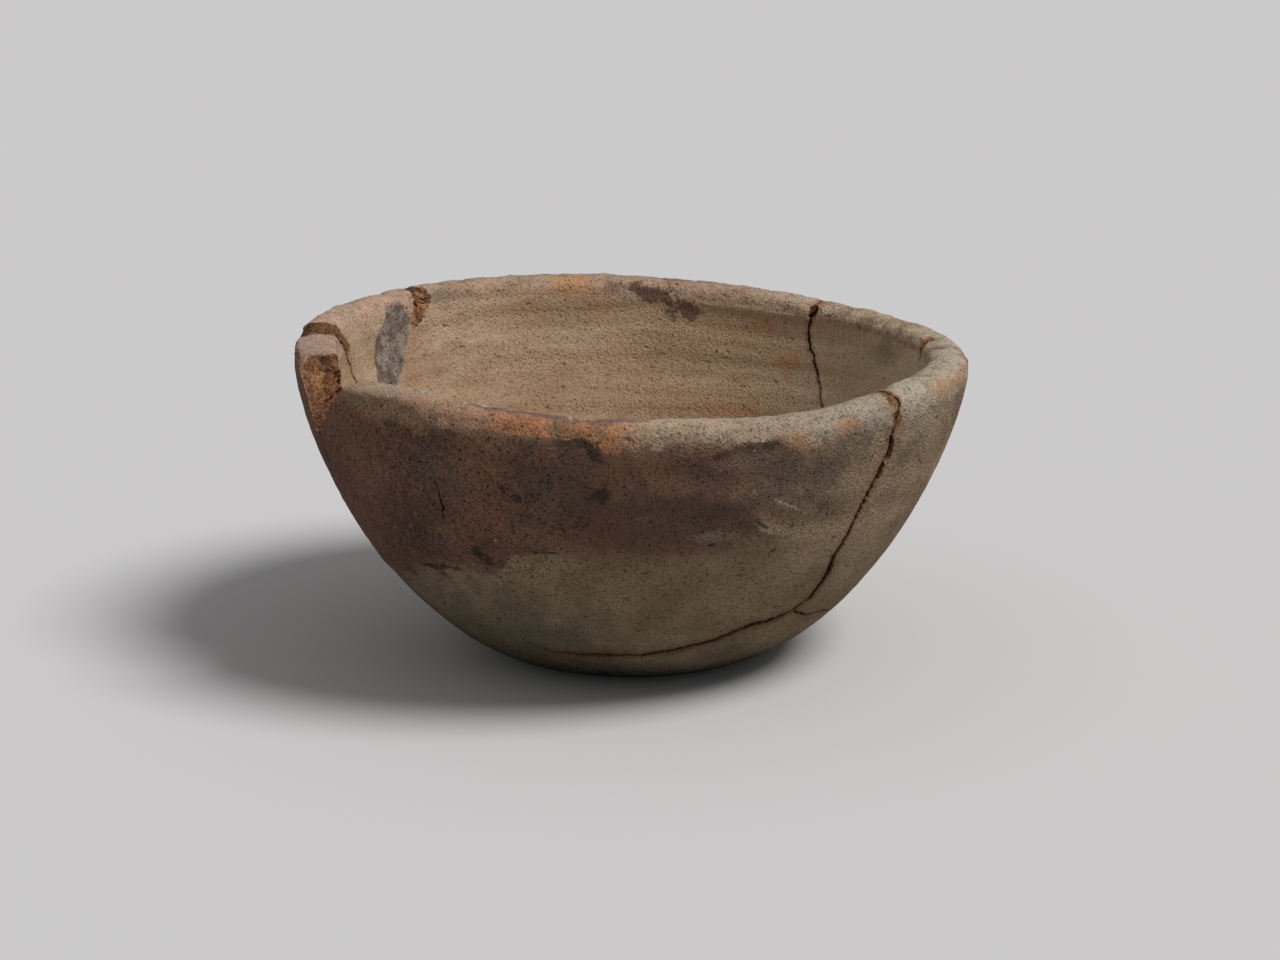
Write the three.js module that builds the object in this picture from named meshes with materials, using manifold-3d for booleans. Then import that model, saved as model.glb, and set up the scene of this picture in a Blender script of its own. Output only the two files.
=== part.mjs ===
// Cracked clay bowl: a small thick-walled vessel that broke into sherds and was mended,
// with open joins, flaked edges and one piece of its rim lost.
// Millimetres, +Z up. The origin is the middle of the resting foot.
// Angles are in degrees from +X towards +Y.

import * as THREE from 'three';
import { mergeVertices } from 'three/addons/utils/BufferGeometryUtils.js';
import Module from 'manifold-3d';

// Vessel
const RIM_RADIUS = 68;
const RIM_HEIGHT = 64;
const FOOT_RADIUS = 21.3;
const RIM_WALL = 8.4;
const FLOOR_WALL = 9;
const LIP_HEIGHT = 3.5;
const LIP_SQUARENESS = 2.4;

// Curve of the outside, from the foot to the lip: how it turns upright, and how far it swells
const BELLY_TURN = 1.43;
const BELLY_SWELL = 0.574;

// Unevenness of the rim: waves around it, their height, and the angle of a high point
const RIM_SWAY = [
  { waves: 1, height: 2.06, high: 180 },
  { waves: 2, height: 0.73, high: 153.6 },
  { waves: 3, height: 0.46, high: 92.2 },
];

// The sherds beside the lost piece sit lower than the back sherd, and ease back to its level
const SHERD_DROP = 1.4;
const SHERD_JOIN_ANGLE = 176;
const SHERD_EASE_FROM = 212;
const SHERD_EASE_TO = 232;

// Piece lost from the rim: its depth below the lip, and the angles of both broken edges
// on the inside and the outside of the wall, from the notch's bottom to the lip
const NOTCH_DEPTH = 13.5;
const NOTCH_START = { inside: [190, 190.5, 193], outside: [203, 202, 194.5] };
const NOTCH_END = { inside: [195, 204, 213.5], outside: [204.5, 210.5, 216] };
const BREAK_ROUGHNESS = 0.4;
const BREAK_GRAIN = 3.2;

// Cracks, as points of angle and run (see sectionPoint), and the gap along each
const CRACK_DEPTH = 2.4;
const CRACK_FLOOR = 0.2;
const CRACKS = [
  {
    name: 'front join',
    gap: [1.0, 1.1, 1.3, 1.5, 1.1, 1.0, 1.0, 0.9, 0.8],
    path: [
      [322, 2.4], [321, 2.12], [319, 1.5], [319.4, 1.12], [318.2, 0.96], [317.3, 0.92], [317.8, 0.86],
      [315.5, 0.74], [314.6, 0.645], [313.2, 0.51], [314.1, 0.43], [313.2, 0.34], [309.5, 0.3],
      [303.5, 0.277], [299.2, 0.272], [291.2, 0.225], [284.3, 0.202], [274.5, 0.172], [261.5, 0.164],
      [248.3, 0.164], [242.5, 0.192],
    ],
  },
  {
    name: 'branch of the front join',
    gap: [0.9, 0.7],
    path: [[310.5, 0.3], [316.8, 0.261], [321.8, 0.253], [326, 0.243], [331.2, 0.223]],
  },
  {
    name: 'back join',
    gap: [0.7, 1.3, 1.1, 0.9, 0.7],
    path: [
      [46, 0.6], [49.5, 0.8], [51, 1], [50.3, 1.5], [49.2, 1.85], [50.3, 2.05], [49.8, 2.11], [48.5, 2.15],
      [46.2, 2.21], [44.8, 2.26], [42.8, 2.31], [40.5, 2.36], [37.5, 2.5],
    ],
  },
  {
    name: 'left join',
    gap: [0.8, 1.6, 1.8, 1, 0.7],
    path: [
      [179.5, 0.8], [178.5, 0.92], [177, 1.05], [176.5, 1.35], [175, 1.65], [173.5, 1.88], [171, 2.02],
      [169.3, 2.06], [169, 2.12], [169.5, 2.25], [171, 2.4],
    ],
  },
  {
    name: 'front crack of the left sherd',
    gap: [0.6, 0.8, 0.6],
    path: [[236, 0.815], [236.2, 0.71], [235.5, 0.665]],
  },
];

// Band on the inside where the skin has come away, and the wedge of lip lost beside it
const SPALL_FLOOR = 0.85;
const SPALLS = [
  {
    name: 'grey band',
    depth: 0.7,
    gap: [3, 6.4, 9.2, 8.6, 6, 3],
    path: [[143.8, 1.93], [146.2, 2.09], [150.5, 2.145], [152.7, 2.19], [155.5, 2.25], [158, 2.34]],
  },
  {
    name: 'lip wedge',
    depth: 1.3,
    gap: [3.2, 5.2, 4, 2],
    path: [[137.2, 1.5], [138, 1.8], [139.6, 2.03], [141.8, 2.08]],
  },
];

// Flakes lost from the lip: their place, and half their size along the rim, up the wall and into it
const FLAKES = [
  { angle: 10.5, run: 1.9, along: 3.6, up: 2.2, into: 1.1 },
  { angle: 1, run: 1.4, along: 2.4, up: 2, into: 0.7 },
  { angle: 288, run: 0.975, along: 6.8, up: 1.7, into: 0.9 },
  { angle: 262, run: 1.3, along: 5, up: 1.8, into: 0.5 },
];

// Fineness of the solid
const STEPS_AROUND = 80;
const STEPS_OUTSIDE = 16;
const STEPS_LIP = 10;
const STEPS_INSIDE = 14;
const STEPS_BREAK = 6;
const CRACK_STEP = 3;
const CUT_MARGIN = 1.5;
const MERGE_DISTANCE = 1e-4;

const CLAY_COLOUR = 0xa58a6c;
const DEGREE = Math.PI / 180;
const LIP_START = RIM_HEIGHT - LIP_HEIGHT;

const wasm = await Module();
wasm.setup();

const mix = THREE.MathUtils.lerp;

// Height of the rim above its mean level at one angle
function rimSway(angle) {
  let sway = 0;
  for (const { waves, height, high } of RIM_SWAY) {
    sway += height * Math.cos(waves * (angle - high) * DEGREE);
  }
  if (angle > SHERD_JOIN_ANGLE && angle < SHERD_EASE_TO) {
    sway -= SHERD_DROP * (1 - THREE.MathUtils.smoothstep(angle, SHERD_EASE_FROM, SHERD_EASE_TO));
  }
  return sway;
}

// The unevenness grows from nothing at the foot to its whole height at the rim
function swayed(angle, height) {
  return height + rimSway(angle) * (height / RIM_HEIGHT) ** 2;
}

// Outside of the section at a share of its height, as radius and height
function outsidePoint(share) {
  const swell = (1 - (1 - share) ** BELLY_TURN) ** BELLY_SWELL;
  return new THREE.Vector2(mix(FOOT_RADIUS, RIM_RADIUS, swell), share * LIP_START);
}

// Inside of the section: the outside set in by the wall, along its normal
function insidePoint(share) {
  const low = Math.max(share, Number.EPSILON);
  const turned = 1 - (1 - low) ** BELLY_TURN;
  const bend = BELLY_TURN * BELLY_SWELL * turned ** (BELLY_SWELL - 1) * (1 - low) ** (BELLY_TURN - 1);
  const inward = new THREE.Vector2(-LIP_START, (RIM_RADIUS - FOOT_RADIUS) * bend).normalize();
  return outsidePoint(share).addScaledVector(inward, mix(FLOOR_WALL, RIM_WALL, share));
}

// Rounded top of the wall, from its outside at 0 to its inside at 1
function lipPoint(share) {
  const power = 2 / LIP_SQUARENESS;
  const across = Math.cos(share * Math.PI);
  const up = Math.sin(share * Math.PI);
  const side = Math.sign(across) * Math.abs(across) ** power;
  return new THREE.Vector2(RIM_RADIUS + (side - 1) * RIM_WALL / 2, LIP_START + LIP_HEIGHT * up ** power);
}

// Point of the section at a run: 0 to 1 up the outside, 1 to 2 over the lip, 2 to 3 down the inside
function sectionPoint(run) {
  if (run <= 1) {
    return outsidePoint(run);
  }
  if (run < 2) {
    return lipPoint(run - 1);
  }
  return insidePoint(3 - run);
}

// Point of the uneven surface at an angle and a run
function surfacePoint(angle, run) {
  const point = sectionPoint(run);
  const turn = angle * DEGREE;
  return new THREE.Vector3(point.x * Math.cos(turn), point.x * Math.sin(turn), swayed(angle, point.y));
}

// Outward normal of the surface, from its slopes around the bowl and along the section
function surfaceNormal(angle, run) {
  const reach = 0.02;
  const around = surfacePoint(angle + reach, run).sub(surfacePoint(angle - reach, run));
  const along = surfacePoint(angle, run + reach).sub(surfacePoint(angle, run - reach));
  return around.cross(along).normalize();
}

// Closed geometry as a solid, with shared corners merged and collapsed faces left out
function solidOf(geometry) {
  geometry.deleteAttribute('normal');
  geometry.deleteAttribute('uv');
  const merged = mergeVertices(geometry, MERGE_DISTANCE);
  const corners = merged.index.array;
  const faces = [];
  for (let i = 0; i < corners.length; i += 3) {
    const [a, b, c] = corners.subarray(i, i + 3);
    if (a !== b && b !== c && c !== a) {
      faces.push(a, b, c);
    }
  }
  const vertProperties = new Float32Array(merged.attributes.position.array);
  return new wasm.Manifold(new wasm.Mesh({ numProp: 3, vertProperties, triVerts: new Uint32Array(faces) }));
}

// Moves each vertex of a geometry to where the given function puts it
function reshape(geometry, place) {
  const position = geometry.attributes.position;
  const vertex = new THREE.Vector3();
  for (let i = 0; i < position.count; i += 1) {
    vertex.fromBufferAttribute(position, i);
    const moved = place(vertex);
    position.setXYZ(i, moved.x, moved.y, moved.z);
  }
  return geometry;
}

// Whole vessel: the section turned about the axis, then made uneven
function wholeVessel() {
  const profile = [new THREE.Vector2(0, 0)];
  for (let i = 0; i <= STEPS_OUTSIDE; i += 1) {
    profile.push(outsidePoint((i / STEPS_OUTSIDE) ** BELLY_TURN));
  }
  for (let i = 1; i < STEPS_LIP; i += 1) {
    profile.push(lipPoint(i / STEPS_LIP));
  }
  for (let i = STEPS_INSIDE; i >= 0; i -= 1) {
    profile.push(insidePoint((i / STEPS_INSIDE) ** BELLY_TURN));
  }
  profile.push(new THREE.Vector2(0, FLOOR_WALL));
  const vessel = new THREE.LatheGeometry(profile, STEPS_AROUND);
  vessel.rotateX(Math.PI / 2);
  return reshape(vessel, ({ x, y, z }) => {
    const angle = (Math.atan2(y, x) / DEGREE + 360) % 360;
    return new THREE.Vector3(x, y, swayed(angle, z));
  });
}

// Points along a path of angle and run, close enough together to follow the surface
function followPath(path) {
  const points = [path[0]];
  for (let i = 1; i < path.length; i += 1) {
    const [fromAngle, fromRun] = path[i - 1];
    const [toAngle, toRun] = path[i];
    const length = surfacePoint(fromAngle, fromRun).distanceTo(surfacePoint(toAngle, toRun));
    const count = Math.ceil(length / CRACK_STEP);
    for (let k = 1; k <= count; k += 1) {
      points.push([mix(fromAngle, toAngle, k / count), mix(fromRun, toRun, k / count)]);
    }
  }
  return points;
}

// Value of an evenly spaced list at a share of its length
function valueAlong(list, share) {
  const place = share * (list.length - 1);
  const index = Math.min(Math.floor(place), list.length - 2);
  return mix(list[index], list[index + 1], place - index);
}

// Cutter that follows a path: as wide as the gap at the surface, narrowing to its floor at the full depth
function groove({ path, gap }, depth, floor) {
  const points = followPath(path);
  const last = points.length - 1;
  const prism = new THREE.BoxGeometry(1, 1, 1, 1, 1, last);
  return reshape(prism, ({ x, y, z }) => {
    const index = Math.round((z + 0.5) * last);
    const [angle, run] = points[index];
    const before = surfacePoint(...points[Math.max(index - 1, 0)]);
    const after = surfacePoint(...points[Math.min(index + 1, last)]);
    const normal = surfaceNormal(angle, run);
    const side = normal.clone().cross(after.sub(before)).normalize();
    const flare = 1 + (1 - floor) * CUT_MARGIN / depth;
    const width = valueAlong(gap, index / last) * (y > 0 ? flare : floor);
    return surfacePoint(angle, run).addScaledVector(side, x * width)
      .addScaledVector(normal, y > 0 ? CUT_MARGIN : -depth);
  });
}

// Cutter for a flake: an ellipsoid centred on the surface
function flake({ angle, run, along, up, into }) {
  const centre = surfacePoint(angle, run);
  const normal = surfaceNormal(angle, run);
  const side = new THREE.Vector3(0, 0, 1).cross(normal).normalize();
  const rise = normal.clone().cross(side);
  return reshape(new THREE.IcosahedronGeometry(1, 2), ({ x, y, z }) => {
    const point = centre.clone().addScaledVector(side, x * along);
    return point.addScaledVector(rise, y * up).addScaledVector(normal, z * into);
  });
}

// Rough offset of a broken face at a point
function breakOffset({ x, y, z }) {
  const grain = 2 * Math.PI / BREAK_GRAIN;
  return new THREE.Vector3(
    Math.sin(grain * (y + 0.6 * z)),
    Math.sin(grain * (z + 0.7 * x)),
    Math.sin(grain * (x + 0.8 * y)),
  ).multiplyScalar(BREAK_ROUGHNESS);
}

// Angle of a broken edge at a share of the notch's height and of the wall's thickness
function edgeAngle({ inside, outside }, heightShare, wallShare) {
  return mix(valueAlong(inside, heightShare), valueAlong(outside, heightShare), wallShare);
}

// Cutter for the lost piece: a rough wedge between the two broken edges, reaching past the wall and the lip
function lostPiece() {
  const reach = RIM_WALL;
  const block = new THREE.BoxGeometry(1, 1, 1, STEPS_BREAK, STEPS_BREAK, STEPS_BREAK);
  return reshape(block, ({ x, y, z }) => {
    const heightShare = (y + 0.5) * (1 + reach / NOTCH_DEPTH);
    const radius = RIM_RADIUS - RIM_WALL / 2 + z * (RIM_WALL + 2 * reach);
    const wallShare = THREE.MathUtils.clamp(1 + (radius - RIM_RADIUS) / RIM_WALL, 0, 1);
    const start = edgeAngle(NOTCH_START, heightShare, wallShare);
    const end = edgeAngle(NOTCH_END, heightShare, wallShare);
    const turn = mix(start, end, x + 0.5) * DEGREE;
    const height = RIM_HEIGHT - NOTCH_DEPTH * (1 - heightShare);
    const point = new THREE.Vector3(radius * Math.cos(turn), radius * Math.sin(turn), height);
    return point.add(breakOffset(point));
  });
}

// Vessel with everything that was lost or opened cut out of it
function crackedBowl() {
  const cutters = [lostPiece()];
  for (const crack of CRACKS) {
    cutters.push(groove(crack, CRACK_DEPTH, CRACK_FLOOR));
  }
  for (const spall of SPALLS) {
    cutters.push(groove(spall, spall.depth, SPALL_FLOOR));
  }
  for (const lost of FLAKES) {
    cutters.push(flake(lost));
  }
  let clay = solidOf(wholeVessel());
  for (const cutter of cutters) {
    clay = clay.subtract(solidOf(cutter));
  }
  const { vertProperties, triVerts } = clay.getMesh();
  const geometry = new THREE.BufferGeometry();
  geometry.setAttribute('position', new THREE.BufferAttribute(vertProperties, 3));
  geometry.setIndex(new THREE.BufferAttribute(triVerts, 1));
  geometry.computeVertexNormals();
  return geometry;
}

const clay = new THREE.MeshStandardMaterial({ color: CLAY_COLOUR, roughness: 0.95, metalness: 0 });
const bowl = new THREE.Mesh(crackedBowl(), clay);
bowl.name = 'bowl';

const object = new THREE.Group();
object.add(bowl);

export default object;
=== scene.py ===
# A cracked clay bowl: a thick vessel on a small foot, mended from sherds, with open cracks, chips and a
# lost piece of its rim. Angles are in degrees from +X, counter-clockwise from above. A place on the skin is
# an angle and a run: 0 to 1 up the outside, 1 to 2 over the lip, 2 to 3 down the inside. The foot's
# underside is -1 to 0 and the floor inside is 3 to 4.
import math

import bpy
import numpy as np
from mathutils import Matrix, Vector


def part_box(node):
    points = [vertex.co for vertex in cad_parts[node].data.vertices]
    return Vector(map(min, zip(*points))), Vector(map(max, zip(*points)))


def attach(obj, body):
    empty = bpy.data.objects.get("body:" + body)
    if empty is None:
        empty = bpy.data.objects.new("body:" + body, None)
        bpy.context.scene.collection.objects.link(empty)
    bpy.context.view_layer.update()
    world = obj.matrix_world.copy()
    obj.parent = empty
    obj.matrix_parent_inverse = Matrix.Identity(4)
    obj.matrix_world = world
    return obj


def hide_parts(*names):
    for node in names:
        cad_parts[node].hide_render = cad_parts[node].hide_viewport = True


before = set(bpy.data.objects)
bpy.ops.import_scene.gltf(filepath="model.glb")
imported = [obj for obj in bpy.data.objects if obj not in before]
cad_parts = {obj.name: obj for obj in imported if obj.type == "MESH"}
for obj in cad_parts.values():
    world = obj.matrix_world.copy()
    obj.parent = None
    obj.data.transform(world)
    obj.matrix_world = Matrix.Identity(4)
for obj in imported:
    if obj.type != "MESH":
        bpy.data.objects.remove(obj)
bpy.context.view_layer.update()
bowl_low, bowl_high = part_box("bowl")
MM = 0.001
RIM_HEIGHT = 64

# Last run, and the runs over which the lip turns into the inside and, from the far end, into the outside
LAST_RUN = 4
INSIDE_EDGE = (1.9, 2.05)
OUTSIDE_EDGE = (1.08, 0.95)

# Driving sizes of the vessel
SIZES = {
    "Rim Radius": (bowl_high.y - bowl_low.y) / 2,
    "Rim Height": RIM_HEIGHT * MM,
    "Foot Radius": 21.3 * MM,
    "Rim Wall": 8.4 * MM,
    "Floor Wall": 9 * MM,
    "Lip Height": 3.5 * MM,
    "Lump Height": 0.7 * MM,
    "Grain Height": 0.3 * MM,
    "Lip Wear": 1.3 * MM,
    "Notch Depth": 13.5 * MM,
    "Break Grain": 1.5 * MM,
    "Crack Jag": 0.45 * MM,
    "Sherd Drop": 2.0 * MM,
}

# Shape of the section: how the wall turns out of the foot and swells, and how square the lip is
BELLY_TURN = 1.43
BELLY_SWELL = 0.574
LIP_SQUARENESS = 2.4
FLAT_LIP_SQUARENESS = 2

# Rim's rise and fall: waves around the rim, height of each and the angle where it is highest
RIM_SWAY = ((1, 2.06, 180), (2, 0.73, 153.6), (3, 0.46, 92.2))

# Angles between which the lower sherds rise to the rest of the rim
SHERD_EASE = (212, 232)

# Angles between which the lip grows flat on top, and then, from the far end, between which it grows round
FLAT_LIP = (172, 178, 246, 212)

# Rows of the vessel's mesh along each stretch of the section, columns around it, and what closes its seam
ROWS = {"foot": 6, "outside": 84, "lip": 22, "inside": 74, "floor": 6}
COLUMNS = 400
MERGE_DISTANCE = 1e-6

# Lost piece of rim: angles of its broken edges inside and outside the wall, from its bottom to the lip, then
# how far its cutter reaches past the wall, and the cutter's points
NOTCH_START = {"inside": (190, 190.5, 193), "outside": (203, 202, 194.5)}
NOTCH_END = {"inside": (195, 204, 213.5), "outside": (204.5, 210.5, 216)}
NOTCH_REACH = 2.5 * MM
NOTCH_GRID = {"Vertices X": 34, "Vertices Y": 46, "Vertices Z": 34}

# Cracks: gap in millimetres along each, and its path as angles and runs
CRACKS = {
    "front_join": (
        (0.4, 0.6, 0.8, 2.5, 1.0, 2.1, 1.4, 2.0, 2.0, 1.8, 0.7),
        ((322, 2.4), (321, 2.12), (319, 1.5), (319.4, 1.12), (318.2, 0.96), (317.3, 0.92), (317.8, 0.86),
         (315.5, 0.74), (314.6, 0.645), (313.2, 0.51), (314.1, 0.43), (313.2, 0.34), (309.5, 0.3),
         (303.5, 0.277), (299.2, 0.272), (291.2, 0.225), (284.3, 0.202), (274.5, 0.172), (261.5, 0.164),
         (248.3, 0.164), (242.5, 0.192)),
    ),
    "front_branch": (
        (0.8, 0.5),
        ((310.5, 0.3), (316.8, 0.261), (321.8, 0.253), (326, 0.243), (331.2, 0.223)),
    ),
    "back_join": (
        (0.5, 0.7, 0.9, 0.9, 0.6, 0.4),
        ((46, 0.6), (49.5, 0.8), (51, 1), (50.3, 1.5), (49.2, 1.85), (50.3, 2.05), (49.8, 2.11), (48.5, 2.15),
         (46.2, 2.21), (44.8, 2.26), (42.8, 2.31), (40.5, 2.36), (37.5, 2.5)),
    ),
    "left_join": (
        (0.7, 0.8, 0.7, 0.9, 0.7),
        ((179.5, 0.8), (178.5, 0.92), (177.6, 1.05), (177.2, 1.35), (176.8, 1.65), (175.4, 1.88),
         (172.6, 2.02), (170.6, 2.06), (170, 2.12), (171, 2.25), (173, 2.4)),
    ),
    "right_hairline": (
        (0.4, 0.5, 0.4),
        ((362.6, 1.96), (361.2, 1.72), (359.6, 1.5), (357.6, 1.22), (356.6, 1.02)),
    ),
    "left_sherd": (
        (0.5, 0.7, 0.4),
        ((236, 0.815), (236.2, 0.71), (235.5, 0.665)),
    ),
}

# Sherd that sits lower beside the left join: range of angles that holds the join, how far its step is from
# the join, and the half width of the step, in degrees
JOIN_RANGE = (161, 181)
STEP_OFFSET = -1.1
STEP_HALF_WIDTH = 0.45

# Chips along the lip: width in millimetres along each, and its path
CHIPS = {
    "lip_wedge": ((3.4, 5.2, 4, 2), ((137.2, 1.5), (138, 1.8), (139.6, 2.03), (141.8, 2.08))),
    "back_chip": ((2, 2.4, 1.2), ((50.2, 1.7), (49.3, 1.88), (50, 2.06))),
}

# Crumbled places: angle, height, half width and half height in millimetres, the first and last run that they
# reach, and the share of bare clay in them
CRUMBLED = (
    (10.6, 60.8, 2.4, 2.6, 1.5, 2.3, 1),
    (319, 62.2, 1.4, 1.8, 1, 1.6, 1),
    (318.4, 58.4, 1.2, 1.6, 0.8, 1.1, 1),
    (266, 10.2, 4.5, 0.5, 0, 0.5, 1),
    (253.6, 62.2, 6, 1.1, 1.05, 1.44, 0.5),
    (261.6, 61.4, 5, 1.5, 1, 1.44, 0.5),
)

# Band on the inside where the skin has come away: width in millimetres along it, and its path
BAND = ((9, 7.4, 9.2, 8.6, 6, 3),
        ((144.4, 1.93), (146.8, 2.07), (150.8, 2.145), (153.2, 2.19), (156.4, 2.25), (159, 2.34)))

# Steps of the paths on the skin, and how far the cutters' sides crumble
PATH_CUTS = 14
PATH_STEP = 0.35 * MM
CUTTER_CRUMBLE = 0.9 * MM

# Cross-sections of the cutters as shares of their width: along the skin's normal, then across
CRACK_SECTION = ((1.4, -0.56), (1.4, 0.56), (-2.4, 0.12), (-2.4, -0.12))
CHIP_SECTION = ((0.5, -0.75), (0.5, 0.75), (-0.3, 0.34), (-0.3, -0.34))

# Height of the lower edge of the discoloured upper zone on the outside, in millimetres, around the bowl
ZONE_EDGE = ((0, 50), (40, 44), (90, 36), (140, 30), (185, 20), (206, 22.3), (221, 26.2), (231, 30.5),
             (242, 30.2), (249, 34.7), (257, 37.2), (275, 35.5), (300, 38), (325, 46), (360, 50))

# Softness of that edge: share of the turn, and share of the greatest softness in millimetres
ZONE_SOFTNESS = ((0, 0.9), (0.5, 0.5), (0.57, 0.12), (0.7, 0.14), (0.78, 0.6), (0.86, 0.9))
ZONE_SOFTEST = 12

# Heights of the relief on the skin
RELIEF = {
    "fine line": 0.13 * MM,
    "broad line": 0.26 * MM,
    "outer line": 0.24 * MM,
    "lifted skin": 0.5 * MM,
    "scar": 0.55 * MM,
    "flake": 0.85 * MM,
    "lip flake": 0.4 * MM,
    "thin lip": 0.9 * MM,
    "chip": 0.9 * MM,
    "band": 0.65 * MM,
}

# Damage to the skin: angle, height, half width and half height in millimetres of each place
SCAR = (293.8, 41.2, 4.6, 1.1)
FLAKE = (289, 56.4, 7, 1.7)
LIP_CHIP = (10.4, 60.2, 3, 2.4)

# Stretches of the skin: start and end angle, and softness of its ends
LIFTED_SKIN = (196, 262, 12)
COARSE_SKIN = (196, 256, 12)
FIBROUS_SKIN = (194, 258, 12)
THIN_LIP = (283, 317, 12)
SWOLLEN_SKIN = (275, 345, 22)

# Distance between the throwing lines in millimetres
LINE_STEPS = {"fine": 3.4, "broad": 10.5, "outer": 9.2}

# Edges sharper than this are shaded as edges
SHARP_EDGE = math.radians(50)

# Colours of the clay on each part of the bowl, of its dirt and of its breaks, and of its painted light and
# shade
CLAY = {
    "inside dark": (0.39, 0.255, 0.155),
    "inside light": (0.48, 0.345, 0.225),
    "inside band dark": (0.3, 0.19, 0.11),
    "inside band light": (0.53, 0.4, 0.275),
    "inside streak": (0.31, 0.195, 0.115),
    "inside right painted light": (0.58, 0.485, 0.345),
    "inside back": (0.335, 0.225, 0.135),
    "low dark": (0.305, 0.213, 0.13),
    "low light": (0.42, 0.302, 0.187),
    "foot painted shade": (0.034, 0.032, 0.024),
    "high dark": (0.135, 0.077, 0.052),
    "high light": (0.235, 0.139, 0.092),
    "high red": (0.265, 0.125, 0.075),
    "right dark": (0.195, 0.136, 0.087),
    "right light": (0.335, 0.235, 0.143),
    "patch light": (0.38, 0.24, 0.145),
    "patch dark": (0.15, 0.108, 0.085),
    "lip dark": (0.31, 0.21, 0.135),
    "lip light": (0.48, 0.365, 0.255),
    "lip crown worn and lit": (0.45, 0.34, 0.25),
    "lip line dark": (0.16, 0.1, 0.09),
    "lip line painted highlight": (0.6, 0.5, 0.43),
    "pit": (0.075, 0.046, 0.026),
    "ruddy spot": (0.34, 0.15, 0.09),
    "speck": (0.56, 0.49, 0.41),
    "mark": (0.045, 0.034, 0.023),
    "scrape and highlight": (0.57, 0.43, 0.275),
    "grey dark": (0.13, 0.1, 0.083),
    "grey light": (0.29, 0.23, 0.195),
    "grey hole": (0.055, 0.037, 0.03),
    "grey grain": (0.42, 0.31, 0.26),
    "crack dirt": (0.29, 0.14, 0.072),
    "bare dark": (0.115, 0.048, 0.021),
    "bare light": (0.39, 0.185, 0.082),
    "bare low": (0.17, 0.062, 0.028),
    "bare hole": (0.045, 0.018, 0.008),
    "bare grain": (0.5, 0.28, 0.14),
    "bare step": (0.06, 0.027, 0.013),
    "crack depth painted shade": (0.06, 0.028, 0.013),
}

# Stretches of the worn lip: start and end angle, softness of its ends, colour and strength
LIP_STRETCHES = (
    (204, 224, 6, (0.36, 0.245, 0.165), 0.9),
    (222, 252, 6, (0.37, 0.215, 0.132), 0.95),
    (272, 300, 8, (0.35, 0.27, 0.185), 0.6),
    (300, 375, 14, (0.42, 0.36, 0.275), 0.85),
    (286, 320, 8, (0.33, 0.265, 0.2), 0.6),
    (247, 270, 4, (0.43, 0.18, 0.082), 0.95),
    (142, 175, 6, (0.5, 0.31, 0.23), 0.9),
    (176, 194, 2, (0.43, 0.3, 0.225), 0.85),
    (60, 140, 10, (0.39, 0.25, 0.168), 0.75),
    (98, 107, 3, (0.47, 0.25, 0.12), 0.8),
)

# Stretches where the skin stays on higher up the lip: start and end angle, softness of its ends and run
KEPT_SKIN = ((172, 214, 10, 0.25), (246, 264, 8, 0.05), (276, 287, 5, 0.03))

# Stains of each kind: colour, softness of their edges and strength. A spot has a side of the wall, an angle,
# a height, a half width and a half height in millimetres, and a slant
STAINS = {
    "green": {"colour": (0.205, 0.18, 0.112), "soft": 1.3, "share": 0.6, "spots": (
        ("outside", 236, 14, 24, 9, 0),
    )},
    "red": {"colour": (0.295, 0.148, 0.096), "soft": 1.3, "share": 0.62, "spots": (
        ("outside", 216, 50, 14, 11, 0), ("outside", 214.5, 38, 8, 8, 0), ("outside", 246, 52, 5, 5, 0),
        ("outside", 260, 38.5, 9, 3.6, 0), ("outside", 243, 42, 5, 4, 0), ("outside", 206, 30, 9, 7, 0),
        ("outside", 192, 56, 9, 10, 0), ("crown", 72, 63.8, 14, 0.9, 0),
    )},
    "brown": {"colour": (0.115, 0.078, 0.055), "soft": 1.1, "share": 0.6, "spots": (
        ("outside", 226, 36.5, 8, 6, 0), ("outside", 278, 44, 13, 6, 0), ("outside", 290, 55.4, 8, 1.8, 6),
    )},
    "grey": {"colour": (0.155, 0.115, 0.087), "soft": 1.2, "share": 0.5, "spots": (
        ("outside", 235, 51.5, 5, 7, 0), ("outside", 257, 52.6, 8, 5, 0),
        ("outside", 295.5, 47.7, 7, 1.4, -6), ("outside", 303, 52, 9, 3, 4), ("outside", 309, 56.4, 6, 3, 0),
        ("outside", 313.5, 58.6, 4.5, 2, 0), ("inside", 93, 62.2, 5, 1, 0), ("inside", 133, 63.4, 6, 0.9, -4),
        ("inside", 24.5, 56.8, 4.5, 3.2, 0),
    )},
    "orange": {"colour": (0.4, 0.215, 0.118), "soft": 1.0, "share": 0.7, "spots": (
        ("outside", 298, 58.4, 3, 1.8, 0), ("outside", 306.5, 59.4, 3, 1.3, 0),
        ("outside", 338, 60.8, 16, 1.4, 0), ("inside", 49.8, 61.6, 2, 2, 0), ("inside", 62, 55, 5, 1.6, 0),
        ("inside", 53.5, 48.5, 3.4, 2, 0), ("inside", 65, 37.7, 8, 1.6, 0),
    )},
    "pale": {"colour": (0.45, 0.36, 0.26), "soft": 1.1, "share": 0.3, "spots": (
        ("outside", 293.8, 40.8, 4.2, 1, -38), ("outside", 299.4, 44.2, 6, 1, -20),
        ("outside", 284, 39.5, 4, 1, 4), ("inside", 105.7, 51.4, 7, 3, 0), ("crown", 226.5, 65, 9, 2, 0),
        ("inside", 163, 62, 8, 4, 0), ("outside", 327, 57, 6, 3.5, 0),
    )},
    "maroon": {"colour": (0.1, 0.053, 0.04), "soft": 0.6, "share": 0.88, "spots": (
        ("inside", 86.3, 61.2, 5, 1.7, 10), ("inside", 82.6, 59.9, 3.4, 1.4, 20),
        ("inside", 79.6, 58.2, 3.6, 2.2, 14),
    )},
}

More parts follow.
